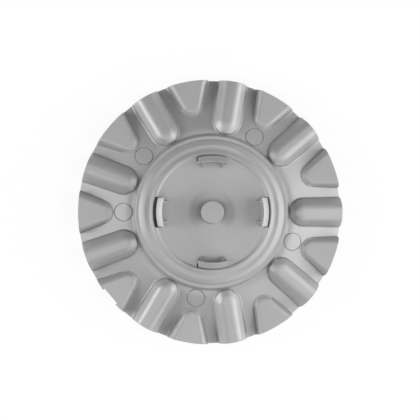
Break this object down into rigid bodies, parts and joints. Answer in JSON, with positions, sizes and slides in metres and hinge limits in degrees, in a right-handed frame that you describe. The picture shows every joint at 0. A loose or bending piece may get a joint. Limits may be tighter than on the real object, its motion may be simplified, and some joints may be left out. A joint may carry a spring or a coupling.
{
  "type": "wheel centre cap",
  "caption": "Round moulded cap for a wheel's centre, with a scalloped flange of raised pads round a hub ring, snap clips and a centre boss on its hub side.",
  "frame": {"origin": "on the cap's axis, in the plane of the front rim that it rests on", "axes": "+Z along the cap's axis towards its hub side, which carries the clips; +X through one clip and one long pad"},
  "size_m": [0.147, 0.147, 0.03],
  "materials": {
    "silver_plastic": "satin silver-grey moulded plastic"
  },
  "bodies": {
    "root": {"centre_cap": "silver_plastic"}
  },
  "joints": []
}
